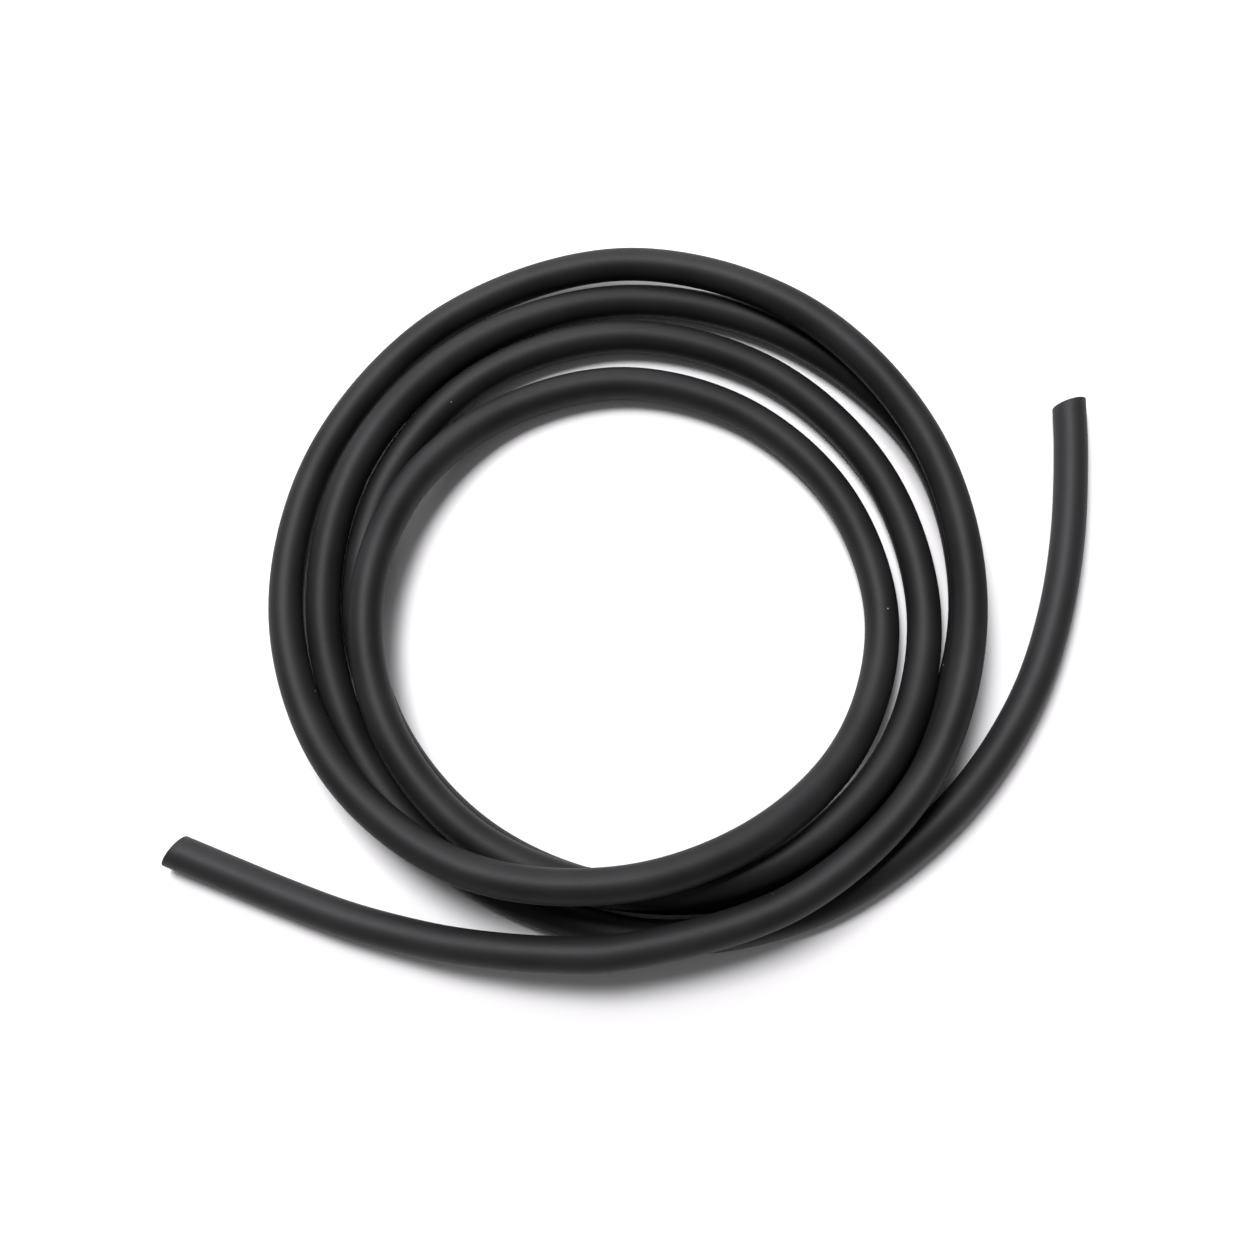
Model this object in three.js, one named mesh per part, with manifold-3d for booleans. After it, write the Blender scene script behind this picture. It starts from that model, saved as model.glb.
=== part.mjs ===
// Fuel hose: one length of black nitrile rubber tube, cut by hand at both ends,
// lying on the floor in a loose coil of about four and a half turns.
// Millimetres, +Z up. The origin is under the middle of the coil's box, on the floor.

import * as THREE from 'three';
import { mergeVertices } from 'three/addons/utils/BufferGeometryUtils.js';
import Module from 'manifold-3d';

const wasm = await Module();
wasm.setup();

// Section of the hose
const outerDiameter = 8;
const boreDiameter = 5;
const outerSides = 12;
const boreSides = 8;

// The coil: lanes lie side by side, levels lie on top of each other, one pitch apart
const gap = 0.4;
const pitch = outerDiameter + gap;
const innerRadius = 58;
const stationAngle = 30;
const firstAngle = -90;
const steps = 210;

// Each turn as twelve stations of [lane, level], from the front round through the right,
// the back and the left. The hose is followed from the end that lies on top.
const topTurn = [
  [2.4, 0.98], [2.26, 1], [2.42, 1], [2.55, 1], [2.9, 1], [3.31, 0.95],
  [3.69, 0.42], [3.43, 0.02], [2.87, 0.03], [2.38, 0.3], [1.94, 0.85], [1.43, 1.6],
];
const innerTurn = [
  [0.8, 2.05], [0.42, 1.75], [0.33, 0.7], [0.3, 0.05], [0.15, 0], [0.05, 0],
  [0.05, 0.02], [0, 0.1], [0, 0.65], [0.05, 1], [0.25, 1], [0.55, 1],
];
const middleTurn = [
  [0.85, 1], [1.2, 1], [1.4, 0.68], [1.48, 0.05], [1.5, 0], [1.54, 0],
  [1.55, 0], [1.3, 0], [0.85, 0], [0.4, 0], [0.2, 0], [0.35, 0],
];
const bottomTurn = [
  [0.8, 0], [1.55, 0], [2.15, 0], [2.65, 0], [3.05, 0], [2.9, 0],
  [2.71, 0], [2.3, 0.15], [1.75, 0.45], [1.35, 0.3], [1.2, 0.1], [1.4, 0],
];

// The two ends that leave the coil, as stations of [degrees, lane, level] of their own
const upperEnd = [
  [-151, 6.7, 0], [-145, 5.7, 0], [-139, 4.95, 0], [-131, 4.2, 0.1],
  [-123, 3.6, 0.25], [-115, 3.15, 0.5], [-102, 2.65, 0.85],
];
const lowerEnd = [
  [-90, 1.85, 0], [-75, 2.2, 0], [-60, 2.6, 0], [-51, 2.85, 0], [-41, 3.15, 0], [-31, 3.55, 0],
  [-21, 4, 0], [-10.5, 4.55, 0], [0, 5.15, 0], [10.5, 5.9, 0], [21, 6.9, 0], [26, 7.5, 0],
];

// The cuts lean towards the inside of the coil, so the outer side is the longer one
const upperCutAngle = 15;
const lowerCutAngle = 17;
const overrun = 6;

// A point of the centre line from its angle round the coil, its lane and its level
function centre(degrees, lane, level) {
  const angle = THREE.MathUtils.degToRad(degrees);
  const radius = innerRadius + lane * pitch;
  const height = outerDiameter / 2 + level * pitch;
  return new THREE.Vector3(radius * Math.cos(angle), radius * Math.sin(angle), height);
}

// A point of a turn from its station's number, lane and level
function stationPoint([lane, level], index) {
  return centre(firstAngle + index * stationAngle, lane, level);
}

// The chosen points of the centre line, from tip to tip
function chosenPoints() {
  const stations = [...topTurn, ...innerTurn, ...middleTurn, ...bottomTurn];
  return [
    ...upperEnd.map((station) => centre(...station)),
    ...stations.map(stationPoint),
    ...lowerEnd.map((station) => centre(...station)),
  ];
}

// The point one overrun past a tip, in line with the point before it
function pastTip(tip, before) {
  const way = tip.clone().sub(before).setLength(overrun);
  return tip.clone().add(way);
}

// The smooth centre line, with an overrun at each end for the cuts
function centreLine(points) {
  const first = pastTip(points[0], points[1]);
  const last = pastTip(points.at(-1), points.at(-2));
  return new THREE.CatmullRomCurve3([first, ...points, last], false, 'centripetal');
}

// A regular polygon round the origin
function ring(diameter, sides) {
  const corners = [];
  for (let i = 0; i < sides; i += 1) {
    const angle = (2 * Math.PI * i) / sides;
    corners.push(new THREE.Vector2(Math.cos(angle), Math.sin(angle)).multiplyScalar(diameter / 2));
  }
  return corners;
}

// The tube: a ring section drawn along the centre line
function tube(path) {
  const section = new THREE.Shape(ring(outerDiameter, outerSides));
  section.holes.push(new THREE.Path(ring(boreDiameter, boreSides)));
  return new THREE.ExtrudeGeometry(section, { steps, bevelEnabled: false, extrudePath: path });
}

// The closed solid of a geometry
function toSolid(geometry) {
  const bare = geometry.clone();
  bare.deleteAttribute('normal');
  bare.deleteAttribute('uv');
  const merged = mergeVertices(bare);
  const vertProperties = new Float32Array(merged.attributes.position.array);
  const triVerts = new Uint32Array(merged.index.array);
  return new wasm.Manifold(new wasm.Mesh({ numProp: 3, vertProperties, triVerts }));
}

// The geometry of a closed solid
function toGeometry(solid) {
  const mesh = solid.getMesh();
  const geometry = new THREE.BufferGeometry();
  geometry.setAttribute('position', new THREE.BufferAttribute(mesh.vertProperties, 3));
  geometry.setIndex(new THREE.BufferAttribute(mesh.triVerts, 1));
  geometry.computeVertexNormals();
  return geometry;
}

// A block whose near face is the cut: it starts at the tip and reaches past the overrun
function cutBlock(tip, before, leanDegrees) {
  const side = 4 * outerDiameter;
  const block = new THREE.BoxGeometry(side, side, side);
  block.translate(side / 2, 0, 0);
  const heading = Math.atan2(tip.y - before.y, tip.x - before.x);
  block.rotateZ(heading + THREE.MathUtils.degToRad(leanDegrees));
  block.translate(tip.x, tip.y, tip.z);
  return toSolid(block);
}

// The hose with both ends cut
function hoseGeometry() {
  const points = chosenPoints();
  const upperBlock = cutBlock(points[0], points[1], -upperCutAngle);
  const lowerBlock = cutBlock(points.at(-1), points.at(-2), lowerCutAngle);
  const cut = toSolid(tube(centreLine(points))).subtract(upperBlock).subtract(lowerBlock);
  return toGeometry(cut);
}

// Moves a mesh so that its box stands on the floor over the origin
function standOnOrigin(mesh) {
  mesh.geometry.computeBoundingBox();
  const box = mesh.geometry.boundingBox;
  const middle = box.getCenter(new THREE.Vector3());
  mesh.position.set(-middle.x, -middle.y, -box.min.z);
}

const rubber = new THREE.MeshStandardMaterial({ color: 0x2b2b2c, roughness: 0.7, metalness: 0 });

const hose = new THREE.Mesh(hoseGeometry(), rubber);
hose.name = 'hose';
standOnOrigin(hose);

const group = new THREE.Group();
group.add(hose);

export default group;
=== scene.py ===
# %% [markdown]
# # A black rubber fuel hose in a loose coil
# The object is one length of extruded nitrile rubber hose, 8 mm outside and 5 mm inside,
# cut by hand at both ends. It was wound by hand and dropped on a pale floor, so its turns lie
# beside and on each other, about four and a half of them. The CAD frame already holds the
# true route and size. This file gives the hose its finish, its cut ends, the light and the view.

# %% Load the fixed frame
import math

import bmesh
import bpy
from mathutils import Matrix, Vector


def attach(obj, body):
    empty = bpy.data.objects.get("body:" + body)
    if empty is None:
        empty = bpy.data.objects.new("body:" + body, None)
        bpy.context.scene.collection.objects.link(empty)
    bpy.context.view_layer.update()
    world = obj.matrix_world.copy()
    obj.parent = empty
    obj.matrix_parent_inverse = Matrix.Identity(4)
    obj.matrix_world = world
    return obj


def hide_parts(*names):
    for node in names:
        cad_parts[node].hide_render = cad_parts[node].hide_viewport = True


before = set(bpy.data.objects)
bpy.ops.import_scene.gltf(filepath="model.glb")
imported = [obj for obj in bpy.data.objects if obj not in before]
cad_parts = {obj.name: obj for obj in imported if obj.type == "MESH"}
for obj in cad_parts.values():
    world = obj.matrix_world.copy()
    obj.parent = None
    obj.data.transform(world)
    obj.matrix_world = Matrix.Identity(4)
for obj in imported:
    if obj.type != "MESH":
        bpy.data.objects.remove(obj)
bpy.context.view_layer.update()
MM = 0.001

# %% [markdown]
# ## The camera
# The photograph looks steeply down on the coil. Its view is set by four values: how far the
# camera leans from level, how far away it is, where it looks, and its focal length. The width of
# the hose in the picture grows towards the near side, and that growth gives the distance.

# %% Camera at the photograph's angle
PHOTO_PIXELS = 1250
FOCAL_PIXELS = 1500
SENSOR_MM = 36
ELEVATION = math.radians(74)
CAMERA_DISTANCE = 353.8 * MM
LOOKED_AT = Vector((-4.49, -6.89, 0.13)) * MM
NEAREST_SEEN = 10 * MM


def make_camera():
    data = bpy.data.cameras.new("photo_camera")
    data.sensor_width = SENSOR_MM
    data.lens = SENSOR_MM * FOCAL_PIXELS / PHOTO_PIXELS
    data.clip_start = NEAREST_SEEN
    camera = bpy.data.objects.new("photo_camera", data)
    bpy.context.scene.collection.objects.link(camera)
    back = Vector((0, -math.cos(ELEVATION), math.sin(ELEVATION)))
    camera.location = LOOKED_AT + CAMERA_DISTANCE * back
    camera.rotation_euler = (math.pi / 2 - ELEVATION, 0, 0)
    bpy.context.scene.camera = camera
    return camera


camera = make_camera()
print("camera lens in mm:", round(camera.data.lens, 1))

# %% [markdown]
# ## The route of the hose
# A hose lies along one smooth line. Each place on it is a station: an angle round the coil, a
# lane counted outwards from the innermost turn, and a level counted upwards from the floor. One
# lane or level is a hose and a hair wide. A turn has a station every 30 degrees, and the two ends
# that leave the coil have angles of their own. These are the same values as in the CAD source.

# %% Sizes and stations
OUTER_DIAMETER = 8 * MM
BORE_DIAMETER = 5 * MM
PITCH = 8.4 * MM
INNER_RADIUS = 58 * MM
STATION_ANGLE = 30
FIRST_ANGLE = -90
OVERRUN = 6 * MM
COIL_MIDDLE = Vector((-5.19, -5.12, 0.13)) * MM

TOP_TURN = [
    (2.4, 0.98), (2.26, 1), (2.42, 1), (2.55, 1), (2.9, 1), (3.31, 0.95),
    (3.69, 0.42), (3.43, 0.02), (2.87, 0.03), (2.38, 0.3), (1.94, 0.85), (1.43, 1.6),
]
INNER_TURN = [
    (0.8, 2.05), (0.42, 1.75), (0.33, 0.7), (0.3, 0.05), (0.15, 0), (0.05, 0),
    (0.05, 0.02), (0, 0.1), (0, 0.65), (0.05, 1), (0.25, 1), (0.55, 1),
]
MIDDLE_TURN = [
    (0.85, 1), (1.2, 1), (1.4, 0.68), (1.48, 0.05), (1.5, 0), (1.54, 0),
    (1.55, 0), (1.3, 0), (0.85, 0), (0.4, 0), (0.2, 0), (0.35, 0),
]
BOTTOM_TURN = [
    (0.8, 0), (1.55, 0), (2.15, 0), (2.65, 0), (3.05, 0), (2.9, 0),
    (2.71, 0), (2.3, 0.15), (1.75, 0.45), (1.35, 0.3), (1.2, 0.1), (1.4, 0),
]
UPPER_END = [
    (-151, 6.7, 0), (-145, 5.7, 0), (-139, 4.95, 0), (-131, 4.2, 0.1),
    (-123, 3.6, 0.25), (-115, 3.15, 0.5), (-102, 2.65, 0.85),
]
LOWER_END = [
    (-90, 1.85, 0), (-75, 2.2, 0), (-60, 2.6, 0), (-51, 2.85, 0), (-41, 3.15, 0), (-31, 3.55, 0),
    (-21, 4, 0), (-10.5, 4.55, 0), (0, 5.15, 0), (10.5, 5.9, 0), (21, 6.9, 0), (26, 7.5, 0),
]


def centre(degrees, lane, level):
    """A point of the hose's middle line from its station."""
    angle = math.radians(degrees)
    radius = INNER_RADIUS + lane * PITCH
    height = OUTER_DIAMETER / 2 + level * PITCH
    return COIL_MIDDLE + Vector((radius * math.cos(angle), radius * math.sin(angle), height))


def past_tip(tip, before):
    """The point one overrun past a tip, in line with the point before it."""
    return tip + (tip - before).normalized() * OVERRUN


turns = TOP_TURN + INNER_TURN + MIDDLE_TURN + BOTTOM_TURN
chosen = [centre(*station) for station in UPPER_END]
chosen += [centre(FIRST_ANGLE + i * STATION_ANGLE, *place) for i, place in enumerate(turns)]
chosen += [centre(*station) for station in LOWER_END]
chosen = [past_tip(chosen[0], chosen[1]), *chosen, past_tip(chosen[-1], chosen[-2])]
print("route points:", len(chosen))

# %% [markdown]
# A smooth line through the chosen points is a Catmull-Rom curve. Its centripetal form is used,
# where the knots are spaced by the square root of the distance, because it makes no loops or
# kinks where short and long steps meet.

# %% Smooth line through the points
FINE_STEP = 1.2 * MM


def knot_step(a, b):
    return math.sqrt((b - a).length)


def stretch_points(before, start, end, after):
    """The points of the curve from start up to end, about one fine step apart."""
    d0, d1, d2 = knot_step(before, start), knot_step(start, end), knot_step(end, after)
    leave = d1 * ((start - before) / d0 - (end - before) / (d0 + d1)) + (end - start)
    arrive = d1 * ((after - end) / d2 - (after - start) / (d1 + d2)) + (end - start)
    count = max(2, round((end - start).length / FINE_STEP))
    points = []
    for i in range(count):
        t = i / count
        cubic = (2 * t**3 - 3 * t**2 + 1) * start + (t**3 - 2 * t**2 + t) * leave
        cubic += (3 * t**2 - 2 * t**3) * end + (t**3 - t**2) * arrive
        points.append(cubic)
    return points


def smooth_line(points):
    padded = [2 * points[0] - points[1], *points, 2 * points[-1] - points[-2]]
    line = []
    for i in range(len(points) - 1):
        line += stretch_points(*padded[i:i + 4])
    return line + [points[-1]]


def line_length(points):
    return sum((b - a).length for a, b in zip(points, points[1:]))


route = smooth_line(chosen)
hose_length = line_length(route) - 2 * OVERRUN
print("fine points:", len(route), "hose length in m:", round(hose_length, 3))

# %% [markdown]
# The route becomes a curve object that Geometry Nodes can read. Blender carries the normals of
# such a curve along with the least twist. This one is nearly flat, so a normal that starts level
# stays nearly level all the way round, and the cut at each end can lean sideways.

# %% Route as a curve
def make_route(points):
    data = bpy.data.curves.new("route", "CURVE")
    data.dimensions = "3D"
    spline = data.splines.new("POLY")
    spline.points.add(len(points) - 1)
    for place, point in zip(spline.points, points):
        place.co = (*point, 1)
    curve = bpy.data.objects.new("route", data)
    bpy.context.scene.collection.objects.link(curve)
    return curve


route_curve = make_route(route)
print("route curve points:", len(route_curve.data.splines[0].points))

# %% [markdown]
# Two small helpers keep the rest short. One adds a node together with its settings and links, for
# materials and Geometry Nodes alike. The other turns a colour as a painter's program shows it
# (sRGB) into the linear values that a shader calculates with.

# %% Helpers for nodes and colours
def add(tree, kind, settings=None, links=None):
    """Adds one node. Settings are its properties, and links feed its sockets by name or number."""
    node = tree.nodes.new(kind)
    for name, value in (settings or {}).items():
        setattr(node, name, value)
    for socket, value in (links or {}).items():
        if isinstance(value, bpy.types.NodeSocket):
            tree.links.new(value, node.inputs[socket])
        else:
            node.inputs[socket].default_value = value
    return node


def linear(hex_colour):
    """An sRGB hex colour as the linear values that shaders use."""
    channels = [int(hex_colour[i:i + 2], 16) / 255 for i in (1, 3, 5)]
    return [c / 12.92 if c <= 0.04045 else ((c + 0.055) / 1.055) ** 2.4 for c in channels] + [1]


print("mid grey as linear values:", [round(value, 3) for value in linear("#808080")])

# %% [markdown]
# ## The rubber
# Fuel hose is carbon-black nitrile rubber (NBR), extruded through a round die and cured with
# steam. The die leaves faint lines along the hose and the cure leaves a very fine grain, so
# the surface is dull with a broad, soft sheen. Wax that works its way out makes paler patches.
# The ends are painted paler too: this is painted light, for the brighter light that the free ends
# catch outside the shade of the coil. There are a few specks of dust. All patterns read the place
# on the straight hose, kept as an attribute, so that they follow the hose round the coil. The real
# grain is finer than shown: it is drawn as coarse as it needs to show.

# %% Colours and sizes of the rubber
RUBBER = "#121213"
# Paler rubber for the wax patches and for the painted light at the ends.
RUBBER_PALE_WAX_AND_LIGHT = "#242324"
DUST = "#A9A7A0"
RUBBER_IOR = 1.5
SHEEN_LEVEL = 0.24
ROUGHNESS_LEAST = 0.48
ROUGHNESS_MOST = 0.62
PER_MM = 1000
GRAIN_MM = 0.35
DIE_LINE_MM = 0.9
DIE_LINE_STRETCH = 60
RELIEF_STRENGTH = 0.12
RELIEF_HEIGHT = 0.03 * MM
WAX_PATCH_MM = 22
WAX_STARTS = 0.4
WAX_IS_FULL = 0.7
WAX_STRENGTH = 0.6
# Reach from each tip over which the rubber is painted paler, as painted light for the brighter ends.
PAINTED_LIGHT_ENDS_MM = 170
DUST_CELL_MM = 13
DUST_SPECK_MM = 0.18
DUST_SOLID_SHARE = 0.6
print("die lines are drawn out to mm:", DIE_LINE_MM * DIE_LINE_STRETCH)

# %% [markdown]
# One noise could stand for all of it, but each trace has its own cause and size, so each is a
# pattern of its own: grain and die lines make the relief, wax and painted light at the ends make
# the base colour paler, and the dust lies over both.

# %% Extruded rubber material
def straight_place(tree, stretch):
    """The place on the straight hose in millimetres, stretched along the hose by a factor."""
    place = add(tree, "ShaderNodeAttribute", {"attribute_name": "straight"})
    scale = (PER_MM, PER_MM, PER_MM / stretch)
    mapping = add(tree, "ShaderNodeMapping", None, {"Vector": place.outputs["Vector"], "Scale": scale})
    return mapping.outputs["Vector"]


def noise(tree, place, size_mm, detail):
    """A cloudy pattern whose patches are about the given size."""
    pattern = add(tree, "ShaderNodeTexNoise", None, {
        "Vector": place, "Scale": 1 / size_mm, "Detail": detail})
    return pattern.outputs["Fac"]


def wax_and_painted_light(tree, even):
    """From 0 to 1: wax patches all along, and paler ends that are painted light for the brighter free
    ends.
    """
    patches = add(tree, "ShaderNodeMapRange", None, {
        "Value": noise(tree, even, WAX_PATCH_MM, 4), "From Min": WAX_STARTS,
        "From Max": WAX_IS_FULL, "To Max": WAX_STRENGTH})
    # Painted light: the last stretch at each end is made paler, for the brighter light that the free
    # ends catch outside the shade of the coil.
    along = add(tree, "ShaderNodeSeparateXYZ", None, {"Vector": even})
    from_middle = add(tree, "ShaderNodeMath", {"operation": "ABSOLUTE"}, {0: along.outputs["Z"]})
    half_mm = PER_MM * hose_length / 2
    painted_light_at_ends = add(tree, "ShaderNodeMapRange", None, {
        "Value": from_middle.outputs[0], "From Min": half_mm - PAINTED_LIGHT_ENDS_MM, "From Max": half_mm})
    return add(tree, "ShaderNodeMath", {"operation": "ADD", "use_clamp": True}, {
        0: patches.outputs[0], 1: painted_light_at_ends.outputs[0]}).outputs[0]


def dustiness(tree, even):
    """1 on a speck of dust and 0 beside it, with no more than one speck in each cell."""
    cells = add(tree, "ShaderNodeTexVoronoi", None, {"Vector": even, "Scale": 1 / DUST_CELL_MM})
    speck = DUST_SPECK_MM / DUST_CELL_MM
    return add(tree, "ShaderNodeMapRange", None, {
        "Value": cells.outputs["Distance"], "From Min": DUST_SOLID_SHARE * speck,
        "From Max": speck, "To Min": 1, "To Max": 0}).outputs[0]


def rubber_material():
    material = bpy.data.materials.new("extruded nitrile rubber")
    material.use_nodes = True
    tree = material.node_tree
    tree.nodes.clear()
    even = straight_place(tree, 1)
    grain = noise(tree, even, GRAIN_MM, 3)
    lines = noise(tree, straight_place(tree, DIE_LINE_STRETCH), DIE_LINE_MM, 2)
    # The paler mix is wax patches and painted light at the ends.
    body = add(tree, "ShaderNodeMix", {"data_type": "RGBA"}, {
        0: wax_and_painted_light(tree, even), 6: linear(RUBBER), 7: linear(RUBBER_PALE_WAX_AND_LIGHT)})
    dusty = add(tree, "ShaderNodeMix", {"data_type": "RGBA"}, {
        0: dustiness(tree, even), 6: body.outputs[2], 7: linear(DUST)})
    rough = add(tree, "ShaderNodeMapRange", None, {
        "Value": grain, "To Min": ROUGHNESS_LEAST, "To Max": ROUGHNESS_MOST})
    height = add(tree, "ShaderNodeMath", {"operation": "ADD"}, {0: grain, 1: lines})
    bump = add(tree, "ShaderNodeBump", None, {
        "Strength": RELIEF_STRENGTH, "Distance": RELIEF_HEIGHT, "Height": height.outputs[0]})
    shader = add(tree, "ShaderNodeBsdfPrincipled", None, {
        "Base Color": dusty.outputs[2], "Roughness": rough.outputs[0], "Normal": bump.outputs[0],
        "IOR": RUBBER_IOR, "Specular IOR Level": SHEEN_LEVEL})
    add(tree, "ShaderNodeOutputMaterial", None, {"Surface": shader.outputs[0]})
    return material


extruded_rubber = rubber_material()
print("rubber nodes:", len(extruded_rubber.node_tree.nodes))

# %% [markdown]
# A knife opens fresh rubber at the ends. It has not seen the die or the wax, so it is a little
# paler and duller than the skin, and the blade leaves fine parallel drag lines across it.

# %% Cut rubber material
CUT_RUBBER = "#262627"
CUT_ROUGHNESS = 0.75
DRAG_LINE_MM = 0.3
DRAG_LINE_STRETCH = 8
DRAG_STRENGTH = 0.5
DRAG_HEIGHT = 0.08 * MM


def cut_material():
    material = bpy.data.materials.new("knife-cut nitrile rubber")
    material.use_nodes = True
    tree = material.node_tree
    tree.nodes.clear()
    place = add(tree, "ShaderNodeAttribute", {"attribute_name": "straight"})
    drawn_out = PER_MM / DRAG_LINE_STRETCH
    across = add(tree, "ShaderNodeMapping", None, {
        "Vector": place.outputs["Vector"], "Scale": (drawn_out, PER_MM, drawn_out)})
    drag = noise(tree, across.outputs[0], DRAG_LINE_MM, 2)
    bump = add(tree, "ShaderNodeBump", None, {
        "Strength": DRAG_STRENGTH, "Distance": DRAG_HEIGHT, "Height": drag})
    shader = add(tree, "ShaderNodeBsdfPrincipled", None, {
        "Base Color": linear(CUT_RUBBER), "Roughness": CUT_ROUGHNESS,
        "Normal": bump.outputs[0], "IOR": RUBBER_IOR})
    add(tree, "ShaderNodeOutputMaterial", None, {"Surface": shader.outputs[0]})
    return material


cut_rubber = cut_material()
print("cut rubber nodes:", len(cut_rubber.node_tree.nodes))

# %% [markdown]
# ## The hose itself
# The real hose leaves the extruder straight, is cut, and is bent afterwards, and the Geometry
# Nodes tree repeats those steps. It makes a straight tube with its bore and square ends, leans the
# ends as a hand-held knife does, keeps each point's place on the straight hose as an attribute,
# and then sets every point along the route. A sweep with Curve to Mesh would be shorter, but it
# makes no bore with a closed rim, and its ends are always square.

# %% Inputs of the tree
LEAN_REACH = 9 * MM
UPPER_CUT = -math.tan(math.radians(15))
LOWER_CUT = math.tan(math.radians(17))
ROWS = 800
SIDES = 36
JOIN_DISTANCE = 0.01 * MM

HOSE_INPUTS = {
    "Route": ("NodeSocketObject", route_curve),
    "Outer radius": ("NodeSocketFloat", OUTER_DIAMETER / 2),
    "Bore radius": ("NodeSocketFloat", BORE_DIAMETER / 2),
    "Length": ("NodeSocketFloat", hose_length),
    "Start": ("NodeSocketFloat", OVERRUN),
    "First cut": ("NodeSocketFloat", UPPER_CUT),
    "Last cut": ("NodeSocketFloat", LOWER_CUT),
    "Lean reach": ("NodeSocketFloat", LEAN_REACH),
    "Rows": ("NodeSocketInt", ROWS),
    "Sides": ("NodeSocketInt", SIDES),
    "Material": ("NodeSocketMaterial", extruded_rubber),
}
print("one row of the mesh in mm:", round(hose_length / ROWS / MM, 2))

# %% [markdown]
# Each step of the tree is a function of its own. First comes the straight tube: two walls without
# ends, and a flat ring at each end, which are welded where they touch.

# %% The straight tube
def straight_tube(tree, given):
    """A straight tube along Z with its middle at the origin: two walls and two flat rims."""
    outer = add(tree, "GeometryNodeMeshCylinder", {"fill_type": "NONE"}, {
        "Vertices": given["Sides"], "Side Segments": given["Rows"],
        "Radius": given["Outer radius"], "Depth": given["Length"]})
    bore = add(tree, "GeometryNodeMeshCylinder", {"fill_type": "NONE"}, {
        "Vertices": given["Sides"], "Side Segments": given["Rows"],
        "Radius": given["Bore radius"], "Depth": given["Length"]})
    walls = [outer.outputs["Mesh"], add(tree, "GeometryNodeFlipFaces", None, {
        "Mesh": bore.outputs["Mesh"]}).outputs["Mesh"]]
    rims = []
    for side in (-0.5, 0.5):
        rim = add(tree, "GeometryNodeMeshCone", {"fill_type": "NONE"}, {
            "Vertices": given["Sides"], "Radius Top": given["Bore radius"],
            "Radius Bottom": given["Outer radius"], "Depth": 0.0})
        height = add(tree, "ShaderNodeMath", {"operation": "MULTIPLY"}, {0: given["Length"], 1: side})
        place = add(tree, "ShaderNodeCombineXYZ", None, {"Z": height.outputs[0]})
        rims.append(add(tree, "GeometryNodeTransform", None, {
            "Geometry": rim.outputs["Mesh"], "Translation": place.outputs[0]}).outputs[0])
    join = add(tree, "GeometryNodeJoinGeometry")
    for part in walls + rims:
        tree.links.new(part, join.inputs[0])
    return add(tree, "GeometryNodeMergeByDistance", None, {
        "Geometry": join.outputs[0], "Distance": JOIN_DISTANCE}).outputs[0]


# %% [markdown]
# A cut that leans moves every point near its end along the hose, by its place sideways times the
# lean. The move fades out over a short reach, so the rows of the mesh behind it stay even.

# %% The leaning cuts
def lean_at(tree, given, along, cut, sign):
    """How far a cut leans per metre sideways, fading out over the reach from its end."""
    half = add(tree, "ShaderNodeMath", {"operation": "MULTIPLY"}, {0: given["Length"], 1: 0.5})
    toward = add(tree, "ShaderNodeMath", {"operation": "MULTIPLY"}, {0: along, 1: float(sign)})
    inside = add(tree, "ShaderNodeMath", {"operation": "SUBTRACT"}, {
        0: half.outputs[0], 1: toward.outputs[0]})
    fade = add(tree, "ShaderNodeMapRange", None, {
        "Value": inside.outputs[0], "From Min": 0.0, "From Max": given["Lean reach"],
        "To Min": given[cut], "To Max": 0.0})
    return fade.outputs[0]


def leaned(tree, given, mesh):
    """The tube with both ends leaning sideways, as a knife held by hand leaves them."""
    place = add(tree, "ShaderNodeSeparateXYZ", None, {
        "Vector": add(tree, "GeometryNodeInputPosition").outputs[0]})
    first = lean_at(tree, given, place.outputs["Z"], "First cut", -1)
    last = lean_at(tree, given, place.outputs["Z"], "Last cut", 1)
    both = add(tree, "ShaderNodeMath", {"operation": "ADD"}, {0: first, 1: last})
    shift = add(tree, "ShaderNodeMath", {"operation": "MULTIPLY"}, {
        0: place.outputs["X"], 1: both.outputs[0]})
    offset = add(tree, "ShaderNodeCombineXYZ", None, {"Z": shift.outputs[0]})
    return add(tree, "GeometryNodeSetPosition", None, {
        "Geometry": mesh, "Offset": offset.outputs[0]}).outputs[0]


# %% [markdown]
# The bend comes last. Sample Curve gives the route's point, direction and normal at the length
# where each point of the straight hose lies, and the point is set beside the route from these.

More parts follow.
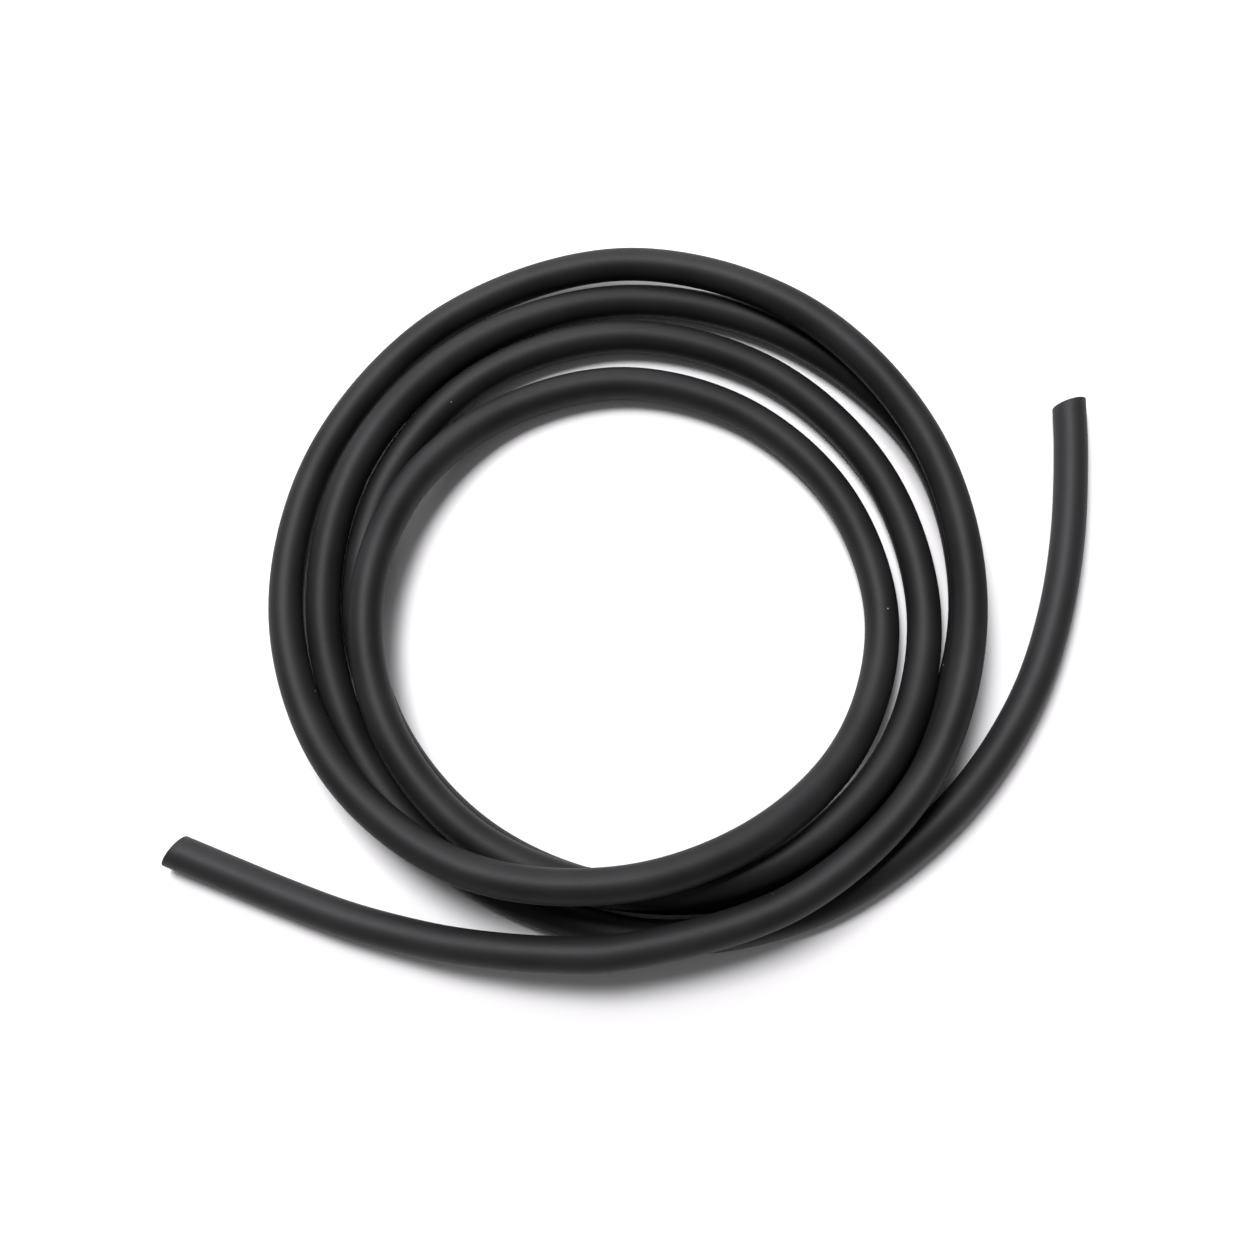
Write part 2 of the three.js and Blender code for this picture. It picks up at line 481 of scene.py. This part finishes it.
# %% The bend and the whole tree
def bent(tree, given, mesh):
    """The straight hose set along the route: X goes outwards and Y downwards from the line."""
    position = add(tree, "GeometryNodeInputPosition").outputs[0]
    place = add(tree, "ShaderNodeSeparateXYZ", None, {"Vector": position})
    kept = add(tree, "GeometryNodeStoreNamedAttribute", {"data_type": "FLOAT_VECTOR"}, {
        "Geometry": mesh, "Name": "straight", "Value": position})
    half = add(tree, "ShaderNodeMath", {"operation": "MULTIPLY_ADD"}, {
        0: given["Length"], 1: 0.5, 2: given["Start"]})
    along = add(tree, "ShaderNodeMath", {"operation": "ADD"}, {
        0: place.outputs["Z"], 1: half.outputs[0]})
    route_info = add(tree, "GeometryNodeObjectInfo", None, {"Object": given["Route"]})
    sample = add(tree, "GeometryNodeSampleCurve", {"mode": "LENGTH"}, {
        "Curves": route_info.outputs["Geometry"], "Length": along.outputs[0]})
    down = add(tree, "ShaderNodeVectorMath", {"operation": "CROSS_PRODUCT"}, {
        0: sample.outputs["Tangent"], 1: sample.outputs["Normal"]})
    sideways = add(tree, "ShaderNodeVectorMath", {"operation": "SCALE"}, {
        0: sample.outputs["Normal"], "Scale": place.outputs["X"]})
    on_line = add(tree, "ShaderNodeVectorMath", {"operation": "ADD"}, {
        0: sample.outputs["Position"], 1: sideways.outputs[0]})
    lowered = add(tree, "ShaderNodeVectorMath", {"operation": "SCALE"}, {
        0: down.outputs[0], "Scale": place.outputs["Y"]})
    target = add(tree, "ShaderNodeVectorMath", {"operation": "ADD"}, {
        0: on_line.outputs[0], 1: lowered.outputs[0]})
    return add(tree, "GeometryNodeSetPosition", None, {
        "Geometry": kept.outputs[0], "Position": target.outputs[0]}).outputs[0]


def hose_tree():
    tree = bpy.data.node_groups.new("straight hose bent along its route", "GeometryNodeTree")
    tree.interface.new_socket("Geometry", in_out="INPUT", socket_type="NodeSocketGeometry")
    for name, (kind, _) in HOSE_INPUTS.items():
        tree.interface.new_socket(name, in_out="INPUT", socket_type=kind)
    tree.interface.new_socket("Geometry", in_out="OUTPUT", socket_type="NodeSocketGeometry")
    given = add(tree, "NodeGroupInput").outputs
    mesh = bent(tree, given, leaned(tree, given, straight_tube(tree, given)))
    real = add(tree, "GeometryNodeRealizeInstances", None, {"Geometry": mesh})
    finished = add(tree, "GeometryNodeSetMaterial", None, {
        "Geometry": real.outputs[0], "Material": given["Material"]})
    add(tree, "NodeGroupOutput", None, {"Geometry": finished.outputs[0]})
    return tree


bend_tree = hose_tree()
print("nodes in the bending tree:", len(bend_tree.nodes))

# %% [markdown]
# A modifier's inputs are set by their sockets' identifiers before the object is evaluated for
# the first time. The result is then turned into a plain mesh, and the carrier object is dropped.

# %% Run the tree and keep its mesh
def built_mesh(name, tree, values):
    """The plain mesh that a Geometry Nodes tree makes with the given input values."""
    carrier = bpy.data.objects.new(name + "_carrier", bpy.data.meshes.new(name + "_carrier"))
    bpy.context.scene.collection.objects.link(carrier)
    modifier = carrier.modifiers.new("nodes", "NODES")
    modifier.node_group = tree
    for item in tree.interface.items_tree:
        if item.in_out == "INPUT" and item.name in values:
            modifier[item.identifier] = values[item.name][1]
    seen = carrier.evaluated_get(bpy.context.evaluated_depsgraph_get())
    mesh = bpy.data.meshes.new_from_object(seen)
    mesh.name = name
    bpy.data.objects.remove(carrier)
    return mesh


hose_mesh = built_mesh("rubber_hose", bend_tree, HOSE_INPUTS)
print("hose vertices and faces:", len(hose_mesh.vertices), len(hose_mesh.polygons))

# %% [markdown]
# The rims of the two cuts get the cut rubber. A knife leaves a crisp edge, but never a perfect
# one, so a small bevel rounds it and catches a thin line of light.

# %% Cut faces and softened edges
EDGE_ROUNDING = 0.18 * MM
EDGE_SEGMENTS = 2


def finish_mesh(mesh):
    """Smooths the walls, gives the rims their material and softens the edges round them."""
    mesh.materials.clear()
    mesh.materials.append(extruded_rubber)
    mesh.materials.append(cut_rubber)
    shape = bmesh.new()
    shape.from_mesh(mesh)
    bmesh.ops.recalc_face_normals(shape, faces=shape.faces)
    straight = shape.verts.layers.float_vector["straight"]
    middle_wall = (OUTER_DIAMETER + BORE_DIAMETER) / 4
    rims = []
    for face in shape.faces:
        radii = [Vector(v[straight]).xy.length for v in face.verts]
        face.smooth = True
        if min(radii) < middle_wall < max(radii):
            face.material_index = 1
            rims.append(face)
    rim_edges = {edge for face in rims for edge in face.edges if len(edge.link_faces) == 2
                 and sum(f.material_index for f in edge.link_faces) == 1}
    bmesh.ops.bevel(shape, geom=list(rim_edges), offset=EDGE_ROUNDING, segments=EDGE_SEGMENTS,
                    profile=0.5, affect="EDGES", clamp_overlap=True, material=1)
    shape.to_mesh(mesh)
    shape.free()
    return len(rims)


print("rim faces:", finish_mesh(hose_mesh))
hose = bpy.data.objects.new("rubber_hose", hose_mesh)
bpy.context.scene.collection.objects.link(hose)
bpy.data.objects.remove(route_curve)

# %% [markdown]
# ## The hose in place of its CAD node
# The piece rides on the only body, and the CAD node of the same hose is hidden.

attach(hose, "root")
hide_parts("hose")

# %% [markdown]
# ## Floor and light
# The photograph is a plain one on white, with a floor so bright that it melts into the
# background. The floor is white paper: dull, with hardly any sheen of its own.

# %% Floor
FLOOR_SIZE = 6.0
FLOOR_WHITE = "#F2F2F2"
FLOOR_ROUGHNESS = 0.9
FLOOR_SHEEN = 0.1


def make_floor():
    bpy.ops.mesh.primitive_plane_add(size=FLOOR_SIZE)
    floor = bpy.context.object
    floor.name = "floor"
    material = bpy.data.materials.new("white paper")
    material.use_nodes = True
    shader = material.node_tree.nodes["Principled BSDF"]
    shader.inputs["Base Color"].default_value = linear(FLOOR_WHITE)
    shader.inputs["Roughness"].default_value = FLOOR_ROUGHNESS
    shader.inputs["Specular IOR Level"].default_value = FLOOR_SHEEN
    floor.data.materials.append(material)


make_floor()
print("floor in m:", FLOOR_SIZE)

# %% [markdown]
# Three lights make the picture. A strong soft lamp, high at the upper left, gives each turn its
# deep shadow at the lower right. A larger and weaker one stands low behind the coil and lights the
# far flanks. A faint white glow from all round keeps the shadows open. The plain Standard view
# keeps white white and black rubber black.

# %% Lights
WINDOW_WHITE = "#FEFCFF"
SKY_STRENGTH = 0.19
KEY_PLACE = Vector((-0.4, 0.49, 1.6))
KEY_SIZE = 0.65
KEY_WATTS = 33
FILL_PLACE = Vector((-0.3, 1.2, 0.75))
FILL_SIZE = 1.4
FILL_WATTS = 17


def make_sky():
    world = bpy.data.worlds.new("white room")
    bpy.context.scene.world = world
    world.use_nodes = True
    sky = world.node_tree.nodes["Background"]
    sky.inputs["Color"].default_value = linear(WINDOW_WHITE)
    sky.inputs["Strength"].default_value = SKY_STRENGTH


def make_lamp(name, place, size, watts):
    """A square soft lamp that faces the middle of the coil."""
    data = bpy.data.lights.new(name, "AREA")
    data.size = size
    data.energy = watts
    data.color = linear(WINDOW_WHITE)[:3]
    lamp = bpy.data.objects.new(name, data)
    bpy.context.scene.collection.objects.link(lamp)
    lamp.location = place
    lamp.rotation_euler = (-place).to_track_quat("-Z", "Y").to_euler()


make_sky()
make_lamp("key", KEY_PLACE, KEY_SIZE, KEY_WATTS)
make_lamp("fill", FILL_PLACE, FILL_SIZE, FILL_WATTS)
bpy.context.scene.view_settings.view_transform = "Standard"
print("lamps in watts:", KEY_WATTS, FILL_WATTS)
